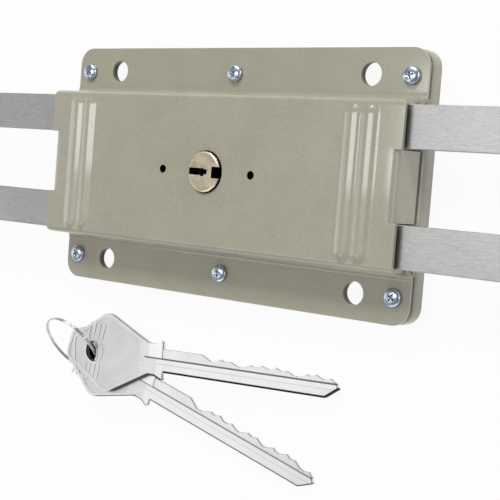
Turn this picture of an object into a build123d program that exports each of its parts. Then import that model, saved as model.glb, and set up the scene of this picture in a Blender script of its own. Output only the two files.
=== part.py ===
"""Rim lock for a roller shutter: a pressed steel case, four flat bolts in two pairs,
a pin cylinder that turns a pinion between two racks, and a pair of keys on a ring.

Millimetres. The lock lies on its back: +Z out of the front cover, +X along the right
bolts, +Y to the upper edge. The origin is the centre of the four mounting holes, on
the front face of the cover's flange. The bolts are modelled thrown.
"""
import os
from math import asin, atan, cos, degrees, pi, radians, sin, sqrt, tan

from build123d import *

os.makedirs("parts", exist_ok=True)

# Sizes shared by the whole lock
sheet = 1.6
over = 2.0
running_gap = 0.3
shaft_gap = 0.05

# Case outline
plate_length = 203.4
plate_height = 115.0
plate_corner = 8.0
rim_depth = 8.4
pan_bend = 4.0

# Raised box of the cover
box_rise = 16.0
flange_width = 22.4
box_edge_radius = 2.6
box_plan_corner = 2.2
box_foot_radius = 1.6
flange_edge_radius = 0.7
flange_inner_corner = 4.5
tongue_side_gap = 0.4
tongue_bend = 4.5
tongue_set_back = 1.7

# Pressed beads near each end of the box
bead_pitch = 8.0
bead_width = 8.2
bead_height = 1.5
bead_set_back = 20.5

# Holes in the case, each from the plate's edge in
mount_inset_x = 27.9
mount_inset_y = 11.2
mount_hole_radius = 5.1
screw_inset_x = 7.8
screw_inset_y = 11.7
cover_screw_radius = 2.0
screw_clearance = 0.3
peep_radius = 1.9
front_hole_gap = 0.45

# Screws
screw_head_radius = 4.1
screw_head_height = 2.6
cover_screw_length = 6.5
cylinder_screw_spacing = 51.8
cylinder_screw_head = 3.6
cylinder_screw_head_height = 2.1
cylinder_screw_length = 5.0
recess_width = 1.1
recess_reach = 2.5
recess_depth = 1.3

# Flat bolts
bolt_height = 18.0
bolt_thickness = 4.0
bolt_length_outside = 78.3
bolt_chamfer = 1.0
bolt_edge_radius = 0.4
bolt_front_gap = 2.0

# Pinion and racks
tooth_module = 1.0
pinion_teeth = 24
pressure_angle = 20.0
backlash = 0.24
flank_points = 5
root_clearance = 0.25
pinion_width = 5.6
yoke_thickness = 2.4
rack_back = 1.75
rack_overlap = 10.0
throw = 37.6

# Yokes
web_width = 18.0
web_window_height = 19.0
web_corner = 3.0
rivet_radius = 2.5
rivet_head_radius = 3.9
rivet_head_height = 1.0
rivet_pitch = 9.6

# Bolt guides
guide_width = 10.0
guide_set_back = 7.0
guide_pocket_wall = 2.0
guide_pockets = 4
spigot_radius = 2.4
spigot_spacing = 40.0
bolt_window_gap = 0.25

# Pillars behind the racks
pillar_radius = 3.2
pillar_shank_radius = 2.0
pillar_head_radius = 3.2
pillar_head_height = 1.0
pillar_spacing = 28.0

# Cylinder plug
plug_radius = 9.27
plug_proud = 1.7
plug_bevel = 0.7
plug_tail = 0.6
keyway_gap = 0.3
keyway_step_gap = 0.15
keyway_end = 0.4
keyway_step = 1.8
keyway_ward = 0.5
keyway_ward_width = 1.9
drive_slot_width = 5.1
drive_slot_depth = 4.4

# Cylinder housing
housing_radius = 13.5
housing_front = 2.6
housing_tail = 2.6
housing_flange_half_length = 31.0
housing_flange_end_radius = 5.6
housing_flange_thickness = 2.0
tower_reach = 22.4
tower_width = 7.0
clip_thickness = 1.0
clip_radius = 11.0
clip_groove_depth = 0.9
clip_opening_share = 0.16

# Pins
pin_radius = 1.3
pin_pitch = 3.2
pin_count = 3
pin_gap = 0.05
key_pin_end = 9.0
driver_start = 9.4
driver_length = 3.6
spring_turns = 4
spring_wire = 0.4
spring_length = 6.2
strip_thickness = 1.4

# Keys
key_thickness = 2.5
key_blade_gap = 0.27
key_blade_length = 98.0
key_hole_set_in = 14.0
key_hole_radius = 5.2
key_head_length = 49.0
key_head_height = 41.0
key_head_back_height = 13.0
key_head_corner = 8.0
key_neck_height = 15.6
key_collar_height = 19.6
key_collar_length = 9.0
key_collar_corner = 0.8
key_tip_length = 6.4
key_uncut = 22.8
key_mill_depth = 0.3
key_rim = 1.6
key_recess = 0.2
key_panel_set_back = 5.0
key_rib_width = 1.0
key_rib_length = 8.0
key_rib_pitch = 3.0
key_rib_slant = 13.0
key_rib_count = 4
key_spread = 17.4
key_heading = -6.8
key_stack_gap = 0.2
key_hole_x = -75.1
key_hole_y = -92.8
rear_key_set_back = 5.0
rear_key_drop = 3.0

# Key ring
ring_radius = 16.6
ring_wire = 0.4
ring_lean = 38.0
ring_heading = -6.0
ring_in_hole_x = 1.6
ring_in_hole_y = -1.0

# Places on a key as shares of the piece that carries them. Each cut is a place along
# the milled part and a depth into its height.
ring_turn_share = 0.85
pin_nose_share = 1.2
key_groove_share = 0.085
key_widest_share = 0.46
front_cut_shares = [
    (0.037, 0.27), (0.078, 0.60), (0.116, 0.44), (0.151, 0.24), (0.179, 0.39), (0.232, 0.35),
    (0.280, 0.68), (0.311, 0.76), (0.340, 0.57), (0.377, 0.39), (0.408, 0.48), (0.437, 0.44),
    (0.466, 0.28), (0.504, 0.47), (0.527, 0.55), (0.569, 0.25), (0.607, 0.52), (0.643, 0.42),
    (0.669, 0.55), (0.695, 0.77), (0.731, 0.82), (0.752, 0.70), (0.793, 0.45), (0.815, 0.58),
    (0.856, 0.36), (0.892, 0.62), (0.920, 0.76), (0.961, 0.55),
]
rear_cut_shares = [
    (0.068, 0.71), (0.110, 0.67), (0.142, 0.44), (0.177, 0.23), (0.209, 0.39), (0.251, 0.12),
    (0.285, 0.45), (0.317, 0.48), (0.350, 0.23), (0.389, 0.55), (0.417, 0.63), (0.458, 0.39),
    (0.484, 0.22), (0.517, 0.40), (0.556, 0.23), (0.601, 0.63), (0.626, 0.64), (0.659, 0.45),
    (0.685, 0.27), (0.710, 0.49), (0.736, 0.51), (0.768, 0.30), (0.790, 0.14), (0.821, 0.40),
    (0.856, 0.31), (0.906, 0.74), (0.940, 0.79), (0.974, 0.57),
]

# Levels worked out from the sizes above, measured from the flange's front face
plate_front = -sheet
plate_back = plate_front - sheet
rear_plane = plate_front - rim_depth
box_front = box_rise
box_inside = box_front - sheet
box_height = plate_height - 2 * flange_width
wall_outside = box_height / 2
wall_inside = wall_outside - sheet
end_x = plate_length / 2
bolt_outer_y = wall_inside - running_gap
bolt_middle_y = bolt_outer_y - bolt_height / 2
bolt_inner_y = bolt_outer_y - bolt_height
bolt_reach = end_x + bolt_length_outside
tongue_half_width = bolt_inner_y - tongue_side_gap
bead_middle = end_x - bead_set_back
bead_length = box_height - 2 * box_edge_radius
mount_spacing_x = plate_length - 2 * mount_inset_x
mount_spacing_y = plate_height - 2 * mount_inset_y
screw_spacing_x = plate_length - 2 * screw_inset_x
screw_spacing_y = plate_height - 2 * screw_inset_y
pinion_radius = tooth_module * pinion_teeth / 2
bolt_front = box_inside - bolt_front_gap
bolt_back = bolt_front - bolt_thickness
left_yoke_front = bolt_back
left_yoke_back = left_yoke_front - yoke_thickness
right_yoke_front = left_yoke_back - running_gap
right_yoke_back = right_yoke_front - yoke_thickness
pinion_back = right_yoke_back - running_gap
pinion_front = pinion_back + pinion_width
rack_outside = pinion_radius + tooth_module + root_clearance + rack_back
guide_outer = end_x - guide_set_back
guide_inner = guide_outer - guide_width
web_outer = guide_inner - running_gap
web_inner = web_outer - web_width
plug_front = box_front + plug_proud
housing_back = rear_plane + housing_tail
plug_back = rear_plane + plug_tail
keyway_width = key_thickness + 2 * keyway_gap
keyway_step_width = key_thickness - 2 * key_mill_depth + 2 * keyway_step_gap
key_blade_height = plug_radius + keyway_end + keyway_step - key_blade_gap
key_shoulder_to_hole = key_head_length + key_collar_length - key_hole_set_in


def block(x, y, z):
    """A box given by its lowest and highest place along each axis."""
    size = (x[1] - x[0], y[1] - y[0], z[1] - z[0])
    middle = ((x[0] + x[1]) / 2, (y[0] + y[1]) / 2, (z[0] + z[1]) / 2)
    return Pos(*middle) * Box(*size)


def post(radius, x, y, z):
    """A round bar along Z between two levels."""
    return Pos(x, y, (z[0] + z[1]) / 2) * Cylinder(radius, z[1] - z[0])


def four_corners(spacing_x, spacing_y):
    return [(sx * spacing_x / 2, sy * spacing_y / 2) for sx in (-1, 1) for sy in (-1, 1)]


def screw_places():
    middle = [(0, -screw_spacing_y / 2), (0, screw_spacing_y / 2)]
    return four_corners(screw_spacing_x, screw_spacing_y) + middle


def pillar_places():
    return four_corners(pillar_spacing, 2 * (rack_outside + running_gap + pillar_radius))


def outline(points, radii, plane):
    """A closed face through points, each corner rounded by its own radius."""
    with BuildSketch(plane) as sketch:
        with BuildLine():
            FilletPolyline(*points, radius=radii, close=True)
        make_face()
    return sketch.sketch


def rounded_plate(length, height, corner, z):
    """A plate with rounded corners between two levels."""
    face = Pos(0, 0, z[0]) * RectangleRounded(length, height, corner)
    return extrude(face, amount=z[1] - z[0])


def capsule(radius, x, half_length, z):
    """A round bar along Y with ball ends, the form under a pressed bead."""
    bar = Pos(x, 0, z) * Rot(90, 0, 0) * Cylinder(radius, 2 * half_length)
    return bar + Pos(x, half_length, z) * Sphere(radius) + Pos(x, -half_length, z) * Sphere(radius)


def save(name, shape, tone):
    """Write one piece, or one group of like pieces, under its own name."""
    shape.label = name
    shape.color = Color(*tone)
    export_step(shape, f"parts/{name}.step")


def hat_section():
    """The cover's section across its length: flange, walls and front in one sheet."""
    half = plate_height / 2
    points = [
        (half, plate_front), (half, 0), (wall_outside, 0), (wall_outside, box_front),
        (-wall_outside, box_front), (-wall_outside, 0), (-half, 0), (-half, plate_front),
        (-wall_inside, plate_front), (-wall_inside, box_inside),
        (wall_inside, box_inside), (wall_inside, plate_front),
    ]
    inner_edge = box_edge_radius - sheet
    outer_foot = box_foot_radius + sheet
    edge = flange_edge_radius
    radii = [
        0, edge, box_foot_radius, box_edge_radius,
        box_edge_radius, box_foot_radius, edge, 0,
        outer_foot, inner_edge, inner_edge, outer_foot,
    ]
    return outline(points, radii, Plane.YZ)


def bead_forms(grow):
    """The two ribs at each end of the box: their outer form, or the inner one with grow < 0."""
    radius = (bead_width**2 / 4 + bead_height**2) / (2 * bead_height)
    level = box_front + bead_height - radius
    half = bead_length / 2 - bead_width / 2
    forms = []
    for side in (-1, 1):
        for step in (-1, 1):
            x = side * bead_middle + step * bead_pitch / 2
            forms.append(capsule(radius + grow, x, half, level))
    return forms


def tongue(side):
    """The end wall between two slots, bent down from the front."""
    start = end_x - 2 * tongue_bend
    outside = end_x - tongue_set_back
    points = [
        (start, box_inside), (start, box_front), (outside, box_front),
        (outside, plate_front + running_gap), (outside - sheet, plate_front + running_gap),
        (outside - sheet, box_inside),
    ]
    radii = [0, 0, tongue_bend, 0, 0, tongue_bend - sheet]
    face = outline(points, radii, Plane.XZ)
    wall = extrude(face, amount=tongue_half_width, both=True)
    return wall if side > 0 else mirror(wall, about=Plane.YZ)


def front_cover():
    cover = extrude(hat_section(), amount=plate_length / 2, both=True)
    for form in bead_forms(0):
        cover += form & block((-end_x, end_x), (-wall_outside, wall_outside),
                              (box_inside, box_front + 2 * bead_height))
    for form in bead_forms(-sheet):
        cover -= form
    keep = rounded_plate(plate_length, plate_height, plate_corner, (plate_front - over, box_front + over))
    cover &= keep
    cover &= rounded_plate(plate_length, box_height, box_plan_corner, (box_foot_radius, box_front + over)) + \
        rounded_plate(plate_length, plate_height, plate_corner, (plate_front - over, box_foot_radius))
    notch_x = (end_x - flange_inner_corner, end_x + over)
    for sx in (-1, 1):
        cut = block((end_x - 2 * tongue_bend, end_x + over), (-tongue_half_width, tongue_half_width),
                    (box_inside - over, box_front + over))
        cover -= cut if sx > 0 else mirror(cut, about=Plane.YZ)
        cover += tongue(sx)
        for sy in (-1, 1):
            corner = block(notch_x, (wall_inside, wall_inside + flange_inner_corner),
                           (plate_front - over, flange_edge_radius + box_foot_radius / 2))
            corner -= post(flange_inner_corner, end_x - flange_inner_corner,
                           wall_inside + flange_inner_corner, (plate_front - 2 * over, box_rise))
            corner = corner if sx > 0 else mirror(corner, about=Plane.YZ)
            cover -= corner if sy > 0 else mirror(corner, about=Plane.XZ)
    through = (plate_front - over, box_front + over)
    for x, y in four_corners(mount_spacing_x, mount_spacing_y):
        cover -= post(mount_hole_radius, x, y, through)
    for x, y in screw_places():
        cover -= post(cover_screw_radius + screw_clearance, x, y, through)
    for side in (-1, 1):
        cover -= post(peep_radius, side * cylinder_screw_spacing / 2, 0, through)
    cover -= post(plug_radius + front_hole_gap, 0, 0, through)
    return cover


def back_plate():
    outer = rounded_plate(plate_length, plate_height, plate_corner, (rear_plane, plate_front))
    outer = fillet(outer.edges().group_by(Axis.Z)[-1], pan_bend)
    inner = rounded_plate(plate_length - 2 * sheet, plate_height - 2 * sheet, plate_corner - sheet,
                          (rear_plane - over, plate_back))
    plate = outer - fillet(inner.edges().group_by(Axis.Z)[-1], pan_bend - sheet)
    through = (plate_back - over, plate_front + over)
    for x, y in four_corners(mount_spacing_x, mount_spacing_y):
        plate -= post(mount_hole_radius, x, y, through)
    for x, y in screw_places():
        plate -= post(cover_screw_radius + shaft_gap, x, y, through)
    for x, y in pillar_places():
        plate -= post(pillar_shank_radius + shaft_gap, x, y, through)
    for side in (-1, 1):
        for x, y in spigot_places(side):
            plate -= post(spigot_radius + shaft_gap, x, y, through)
        plate -= post(cover_screw_radius + shaft_gap, side * cylinder_screw_spacing / 2, 0, through)
    plate -= post(housing_radius + running_gap, 0, 0, through)
    plate -= block((0, tower_reach + running_gap),
                   (-tower_width / 2 - running_gap, tower_width / 2 + running_gap), through)
    return plate


def pan_head(radius, height):
    """A domed head on the plane z = 0."""
    rim = height / 2
    dome = ((radius - rim / 2) ** 2 + rim**2) / (2 * rim)
    body = Pos(0, 0, rim / 2) * Cylinder(radius, rim) + \
        Pos(0, 0, rim + rim / 2) * Cylinder(radius, rim)
    return body & (Pos(0, 0, height - dome) * Sphere(dome))


def screw(head_radius, head_height, shank_radius, length):
    body = pan_head(head_radius, head_height) + Pos(0, 0, -length / 2) * Cylinder(shank_radius, length)
    depth = (head_height - recess_depth, head_height + over)
    for angle in (0, 90):
        body -= Rot(0, 0, angle) * block((-recess_reach, recess_reach), (-recess_width / 2, recess_width / 2), depth)
    return body


def group(pieces):
    return Compound(children=list(pieces))


def cover_screws():
    one = screw(screw_head_radius, screw_head_height, cover_screw_radius, cover_screw_length)
    return group(Pos(x, y, 0) * one for x, y in screw_places())


def flat_bolt(side, row):
    """One of the four flat bars, side -1 left or 1 right, row -1 lower or 1 upper."""
    bar = block((web_inner, bolt_reach), (-bolt_height / 2, bolt_height / 2), (bolt_back, bolt_front))
    bar = chamfer(bar.edges().filter_by(Axis.Z).group_by(Axis.X)[-1], bolt_chamfer)
    bar = fillet(bar.edges().filter_by(Axis.X), bolt_edge_radius)
    bar = Pos(0, bolt_middle_y, 0) * bar
    for x, y in rivet_places(1, 1):
        bar -= post(rivet_radius, x, y, (bolt_back - over, bolt_front + over))
    bar = bar if side > 0 else mirror(bar, about=Plane.YZ)
    return bar if row > 0 else mirror(bar, about=Plane.XZ)


def rivet_places(side, row):
    middle = (web_inner + web_outer) / 2
    return [(side * (middle + k * rivet_pitch / 2), row * bolt_middle_y) for k in (-1, 1)]


def rivet(x, y, back):
    """A rivet through a bolt and the yoke behind it, with a head at each end."""
    shank = post(rivet_radius, x, y, (back - rivet_head_height, bolt_front + rivet_head_height))
    head = pan_head(rivet_head_radius, rivet_head_height)
    return shank + Pos(x, y, bolt_front) * head + Pos(x, y, back) * mirror(head, about=Plane.XY)


def bar_rivets(side, back):
    return group(rivet(x, y, back) for row in (-1, 1) for x, y in rivet_places(side, row))


def rack_face(start):
    """A rack arm from its web, with teeth facing down where the pinion reaches them.

    A gap between teeth is centred on x = 0.
    """
    pitch = pi * tooth_module
    slope = tan(radians(pressure_angle))
    half = pitch / 4 - backlash / 4
    tip = pinion_radius - tooth_module
    root = pinion_radius + tooth_module + root_clearance
    first = -throw - rack_overlap
    last = rack_overlap
    points = [(start, rack_outside), (start, root)]
    for index in range(round(first / pitch) - 1, round(last / pitch) + 2):
        x = (index + 0.5) * pitch
        foot = half + slope * (root - pinion_radius)
        crest = half - slope * tooth_module
        if x - foot > first and x + foot < last:
            points += [(x - foot, root), (x - crest, tip), (x + crest, tip), (x + foot, root)]
    points += [(last, root), (last, rack_outside)]
    return make_face(Polyline(*points, close=True))


def yoke(back):
    """The left yoke: a web that joins its two bolts and a rack arm over the pinion."""
    half = bolt_outer_y
    web = block((-web_outer, -web_inner), (-half, half), (back, back + yoke_thickness))
    web = fillet(web.edges().filter_by(Axis.Z), web_corner)
    arm = extrude(Pos(0, 0, back) * rack_face(-web_inner - web_corner), amount=yoke_thickness)
    window = Pos(-(web_outer + web_inner) / 2, 0, back + yoke_thickness / 2) * Box(
        web_width - 3 * web_corner, web_window_height, yoke_thickness + over)
    body = web + arm - fillet(window.edges().filter_by(Axis.Z), web_corner)
    for row in (-1, 1):
        for x, y in rivet_places(-1, row):
            body -= post(rivet_radius, x, y, (back - over, back + yoke_thickness + over))
    return body


def right_yoke():
    return Rot(0, 0, 180) * yoke(right_yoke_back)


def right_bar_spacers():
    """Plates that bring the right bolts up to the height of the left ones."""
    pieces = []
    for row in (-1, 1):
        plate = block((web_inner, web_outer), (-bolt_height / 2, bolt_height / 2), (right_yoke_front, bolt_back))
        plate = Pos(0, row * bolt_middle_y, 0) * fillet(plate.edges().filter_by(Axis.Z), web_corner)
        for x, y in rivet_places(1, row):
            plate -= post(rivet_radius, x, y, (right_yoke_front - over, bolt_back + over))
        pieces.append(plate)
    return group(pieces)


def involute_point(base, radius, turn):
    """A point of an involute at a radius, turned by an angle."""
    roll = sqrt((radius / base) ** 2 - 1)
    angle = roll - atan(roll) + turn
    return (radius * cos(angle), radius * sin(angle))


def pinion_face():
    """Involute teeth round the pitch circle, with a tooth centred on +X."""
    base = pinion_radius * cos(radians(pressure_angle))
    tip = pinion_radius + tooth_module
    root = pinion_radius - tooth_module - root_clearance
    start = max(base, root)
    roll = tan(radians(pressure_angle))
    half_tooth = (pi / 2 * tooth_module - backlash / 2) / (2 * pinion_radius)
    turn = -half_tooth - (roll - radians(pressure_angle))
    radii = [start + (tip - start) * k / (flank_points - 1) for k in range(flank_points)]
    rising = [involute_point(base, r, turn) for r in radii]
    falling = [(x, -y) for x, y in reversed(rising)]
    root_angle = atan(rising[0][1] / rising[0][0])
    foot = (root * cos(root_angle), root * sin(root_angle))
    tooth = [foot] + rising + falling + [(foot[0], -foot[1])]
    points = []
    for index in range(pinion_teeth):
        angle = 2 * pi * index / pinion_teeth
        points += [(x * cos(angle) - y * sin(angle), x * sin(angle) + y * cos(angle)) for x, y in tooth]
    return make_face(Polyline(*points, close=True))


def drive_pinion():
    """A ring of teeth on the plug, driven by a lug in the plug's slot."""
    ring = extrude(Pos(0, 0, pinion_back) * pinion_face(), amount=pinion_width)
    ring -= post(plug_radius + shaft_gap, 0, 0, (pinion_back - over, pinion_front + over))
    half = drive_slot_width / 2 - shaft_gap
    lug = block((plug_radius - drive_slot_depth + shaft_gap, plug_radius + 2 * shaft_gap),
                (-half, half), (pinion_back, pinion_front))
    return ring + lug


def keyway():
    """The slot for the key: open at the plug's left side, stepped at its inner end."""
    left = -plug_radius - over
    low = -keyway_width / 2
    points = [
        (left, -low), (keyway_end, -low), (keyway_end, keyway_step_width / 2),
        (keyway_end + keyway_step, keyway_step_width / 2),
        (keyway_end + keyway_step, -keyway_step_width / 2),
        (keyway_end, -keyway_step_width / 2), (keyway_end, low - keyway_ward),
        (keyway_end - keyway_ward_width, low - keyway_ward), (keyway_end - keyway_ward_width, low),
        (left, low),
    ]
    face = make_face(Polyline(*points, close=True))
    return extrude(Pos(0, 0, plug_back - over) * face, amount=plug_front - plug_back + 2 * over)


def pin_levels():
    middle = (housing_back + housing_front) / 2
    return [middle + (k - (pin_count - 1) / 2) * pin_pitch for k in range(pin_count)]


def side_bar(radius, x, z):
    """A round bar along X between two places, at one level."""
    return Pos((x[0] + x[1]) / 2, 0, z) * Rot(0, 90, 0) * Cylinder(radius, x[1] - x[0])


def clip_levels():
    """Rear and front faces of the two spring clips on the plug."""
    rear = (housing_back - 2 * shaft_gap - clip_thickness, housing_back - 2 * shaft_gap)
    front = (pinion_front + 2 * shaft_gap, pinion_front + 2 * shaft_gap + clip_thickness)
    return rear, front


def cylinder_plug():
    plug = post(plug_radius, 0, 0, (plug_back, plug_front))
    plug = chamfer(plug.edges().group_by(Axis.Z)[-1], plug_bevel)
    plug -= keyway()
    plug -= block((plug_radius - drive_slot_depth, plug_radius + over),
                  (-drive_slot_width / 2, drive_slot_width / 2), (pinion_back, plug_front + over))
    for levels in clip_levels():
        groove = (levels[0] - shaft_gap, levels[1] + shaft_gap)
        ring = post(plug_radius + over, 0, 0, groove) - post(plug_radius - clip_groove_depth, 0, 0, groove)
        plug -= ring
    for z in pin_levels():
        plug -= side_bar(pin_radius + pin_gap, (keyway_end, plug_radius + over), z)
    return plug


def spring_clip(levels):
    """An open spring ring that sits in a groove of the plug."""
    inner = plug_radius - clip_groove_depth + shaft_gap
    ring = post(clip_radius, 0, 0, levels) - post(inner, 0, 0, (levels[0] - over, levels[1] + over))
    gap = clip_opening_share * clip_radius
    return ring - block((-clip_radius - over, 0), (-gap, gap), (levels[0] - over, levels[1] + over))


def spring_pocket():
    """Room behind the drivers that the springs fill and the strip closes."""
    return driver_start + driver_length + spring_length


def cylinder_housing():
    body = post(housing_radius, 0, 0, (housing_back, housing_front))
    body += block((0, tower_reach), (-tower_width / 2, tower_width / 2), (housing_back, housing_front))
    flange = (plate_front, plate_front + housing_flange_thickness)
    ends = [post(housing_flange_end_radius, s * (housing_flange_half_length - housing_flange_end_radius), 0, flange)
            for s in (-1, 1)]
    half = housing_flange_half_length - housing_flange_end_radius
    body += ends[0] + ends[1]
    body += block((-half, half), (-housing_flange_end_radius, housing_flange_end_radius), flange)
    body += post(housing_radius + over, 0, 0, flange)
    body -= post(plug_radius + shaft_gap, 0, 0, (housing_back - over, housing_front + over))
    for z in pin_levels():
        body -= side_bar(pin_radius + pin_gap, (0, tower_reach + over), z)
    strip = spring_pocket() + shaft_gap
    body -= block((strip, strip + strip_thickness + shaft_gap),
                  (-tower_width / 2 - over, tower_width / 2 + over),
                  (pin_levels()[0] - pin_pitch / 2, housing_front + over)) & \
        block((0, tower_reach + over), (-pin_radius - sheet, pin_radius + sheet), (rear_plane, box_front))
    for side in (-1, 1):
        body -= post(cover_screw_radius + screw_clearance, side * cylinder_screw_spacing / 2, 0,
                     (plate_front - over, plate_front + housing_flange_thickness + over))
    return body


def key_pins():
    """Round-nosed pins between the keyway and the plug's wall."""
    pieces = []
    nose = pin_radius * pin_nose_share
    start = keyway_end + keyway_step
    for z in pin_levels():
        tip = side_bar(pin_radius, (start, start + nose), z) & Pos(start + nose, 0, z) * Sphere(nose)
        pieces.append(tip + side_bar(pin_radius, (start + nose, key_pin_end), z))
    return group(pieces)


def driver_pins():
    return group(side_bar(pin_radius, (driver_start, driver_start + driver_length), z) for z in pin_levels())


def pin_springs():
    """A small coil behind each driver pin."""
    pieces = []
    coil_radius = pin_radius - spring_wire / 2 - pin_gap
    length = spring_length - spring_wire - 2 * shaft_gap
    for z in pin_levels():
        path = Helix(pitch=length / spring_turns, height=length, radius=coil_radius)
        wire = sweep(Plane(path @ 0, z_dir=path % 0) * Circle(spring_wire / 2), path=path)
        start = driver_start + driver_length + spring_wire / 2 + shaft_gap
        pieces.append(Pos(start, 0, z) * Rot(0, 90, 0) * wire)
    return group(pieces)


def pin_cover_strip():
    """The strip that slides into the tower and closes the spring holes."""
    start = spring_pocket() + 2 * shaft_gap
    return block((start, start + strip_thickness - shaft_gap),
                 (-pin_radius - sheet + shaft_gap, pin_radius + sheet - shaft_gap),
                 (pin_levels()[0] - pin_pitch / 2 + shaft_gap, housing_front))


def cylinder_screws():
    one = screw(cylinder_screw_head, cylinder_screw_head_height, cover_screw_radius,
                cylinder_screw_length)
    level = plate_front + housing_flange_thickness
    return group(Pos(side * cylinder_screw_spacing / 2, 0, level) * one for side in (-1, 1))


def rack_pillars():
    pieces = []
    for x, y in pillar_places():
        pillar = post(pillar_radius, x, y, (plate_front, box_inside - running_gap))
        pillar += post(pillar_shank_radius, x, y, (plate_back, plate_front))
        pillar += Pos(x, y, plate_back) * mirror(pan_head(pillar_head_radius, pillar_head_height), about=Plane.XY)
        pieces.append(pillar)
    return group(pieces)


def spigot_places(side):
    middle = (guide_inner + guide_outer) / 2
    return [(side * middle, k * spigot_spacing / 2) for k in (-1, 1)]


def bar_guide(side):
    """A moulded block with an open window for each bolt."""
    half = wall_inside - running_gap
    x = (guide_inner, guide_outer)
    body = block(x, (-half, half), (plate_front, box_inside - running_gap))
    window_z = (bolt_back - bolt_window_gap, bolt_front + bolt_window_gap)
    inner = bolt_inner_y - bolt_window_gap
    for row in (-1, 1):
        window = block((x[0] - over, x[1] + over), (inner, half + over), window_z)
        body -= window if row > 0 else mirror(window, about=Plane.XZ)
    pocket_height = bolt_back - bolt_window_gap - guide_pocket_wall - plate_front
    pocket_width = (2 * half - (guide_pockets + 1) * guide_pocket_wall) / guide_pockets
    for k in range(guide_pockets):
        y = -half + guide_pocket_wall + pocket_width / 2 + k * (pocket_width + guide_pocket_wall)
        pocket = Pos((x[0] + x[1]) / 2, y, plate_front + pocket_height / 2) * Box(
            guide_width - 2 * guide_pocket_wall, pocket_width, pocket_height)
        body -= fillet(pocket.edges().filter_by(Axis.Z), guide_pocket_wall / 2)
    for _, y in spigot_places(1):
        body += post(spigot_radius, (x[0] + x[1]) / 2, y, (plate_back, bolt_back - guide_pocket_wall))
    return body if side > 0 else mirror(body, about=Plane.YZ)


def key_outline():
    """The key seen flat: head, neck, collar and blade, with the hole at the origin."""
    head_high = key_head_height / 2
    neck = key_neck_height / 2
    blade = key_blade_height / 2
    head_end = key_shoulder_to_hole - key_collar_length
    upper = [
        (-key_hole_set_in, key_head_back_height / 2),
        (key_head_length * key_widest_share - key_hole_set_in, head_high),
        (head_end, neck), (key_shoulder_to_hole - key_collar_length / 2, neck),
        (key_shoulder_to_hole, key_collar_height / 2), (key_shoulder_to_hole, blade),
    ]
    radii = [key_head_corner / 2, key_head_corner, key_head_corner, key_head_corner / 2,
             key_collar_corner, 0]
    lower = [(x, -y) for x, y in reversed(upper)]
    return upper, radii, lower


def key_profile(cuts):
    """The flat outline of a whole key, cut along its upper edge."""
    upper, radii, lower = key_outline()
    blade = key_blade_height / 2
    tip_x = key_shoulder_to_hole + key_blade_length
    milled = key_blade_height / 2 - key_blade_height * key_groove_share
    start = key_shoulder_to_hole + key_uncut
    tip_top = tip_x - key_tip_length / 5
    edge = [(start, blade)]
    for place_share, depth_share in cuts:
        edge.append((start + (tip_top - start) * place_share, blade - depth_share * milled))
    tip = [(tip_top, blade - milled), (tip_x, -blade / 4), (tip_x - key_tip_length, -blade)]
    points = upper + edge + tip + lower
    corner = key_collar_corner / 2
    all_radii = radii + [corner] * len(edge) + [corner, corner, corner] + list(reversed(radii))
    return outline(points, all_radii, Plane.XY)


def key_blank(cuts):
    """A whole key, lying on z = 0 with its hole at the origin and its blade along +X."""
    body = extrude(key_profile(cuts), amount=key_thickness)
    body -= post(key_hole_radius, 0, 0, (-over, key_thickness + over))
    blade = key_blade_height / 2
    groove = key_blade_height * key_groove_share
    reach = key_shoulder_to_hole + key_blade_length + over
    for z in ((-over, key_mill_depth), (key_thickness - key_mill_depth, key_thickness + over)):
        body -= block((key_shoulder_to_hole - key_collar_length / 2, reach), (groove, 2 * blade), z) & \
            block((key_shoulder_to_hole, reach), (-2 * blade, 2 * blade), z) + \
            block((key_shoulder_to_hole - key_collar_length, reach), (groove - key_mill_depth * 2, groove), z)
    upper, radii, lower = key_outline()
    head = upper[:3]
    points = head + [(x, -y) for x, y in reversed(head)]
    face = outline(points, [key_head_corner / 2, key_head_corner, 0, 0, key_head_corner, key_head_corner / 2],
                   Plane.XY)
    panel = offset(face, amount=-key_rim)
    panel_end = key_shoulder_to_hole - key_collar_length - key_panel_set_back
    panel &= Pos(panel_end - key_head_length, 0, 0) * Rectangle(2 * key_head_length, key_head_height)
    for level, amount in ((key_thickness, -key_recess), (0, key_recess)):
        body -= extrude(Pos(0, 0, level) * panel, amount=amount)
        body += head_ribs(level, amount)
        body += (post(key_hole_radius + key_rim / 2, 0, 0, sorted((level, level + amount)))
                 - post(key_hole_radius, 0, 0, (-over, key_thickness + over)))
    return body


def head_ribs(level, amount):
    """Slanted ribs on both sides of the hole, raised from the head's recess."""
    ribs = None
    for row in (-1, 1):
        for k in range(key_rib_count):
            x = (k - 1 + (row - 1) / 2) * key_rib_pitch
            y = row * (key_hole_radius + key_rib_width + key_rib_length / 2)
            place = Pos(x, y, level + amount / 2) * Rot(0, 0, -key_rib_slant)
            rib = place * Box(key_rib_width, key_rib_length, abs(amount))
            ribs = rib if ribs is None else ribs + rib
    return ribs


def ring_height():
    """Height of the ring's middle over the ground it leans on."""
    return ring_radius * sin(radians(ring_lean)) + 2 * ring_wire


def key_place(level, turn):
    """Where a key lies: its hole on the ring, its tip let down towards the ground."""
    stack_bottom = ring_height() - key_thickness - key_stack_gap / 2
    reach = (key_shoulder_to_hole + key_blade_length) * cos(radians(key_spread / 2))
    dip = degrees(asin((stack_bottom - running_gap / 2) / reach))
    ground = Pos(key_hole_x, key_hole_y, rear_plane + stack_bottom)
    return ground * Rot(0, 0, key_heading) * Rot(0, dip, 0) * Pos(0, 0, level) * Rot(0, 0, turn)


def front_key():
    return key_place(key_thickness + key_stack_gap, key_spread / 2) * key_blank(front_cut_shares)


def rear_key():
    set_back = Pos(-rear_key_set_back, -rear_key_drop, 0)
    return key_place(0, -key_spread / 2) * set_back * key_blank(rear_cut_shares)


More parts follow.
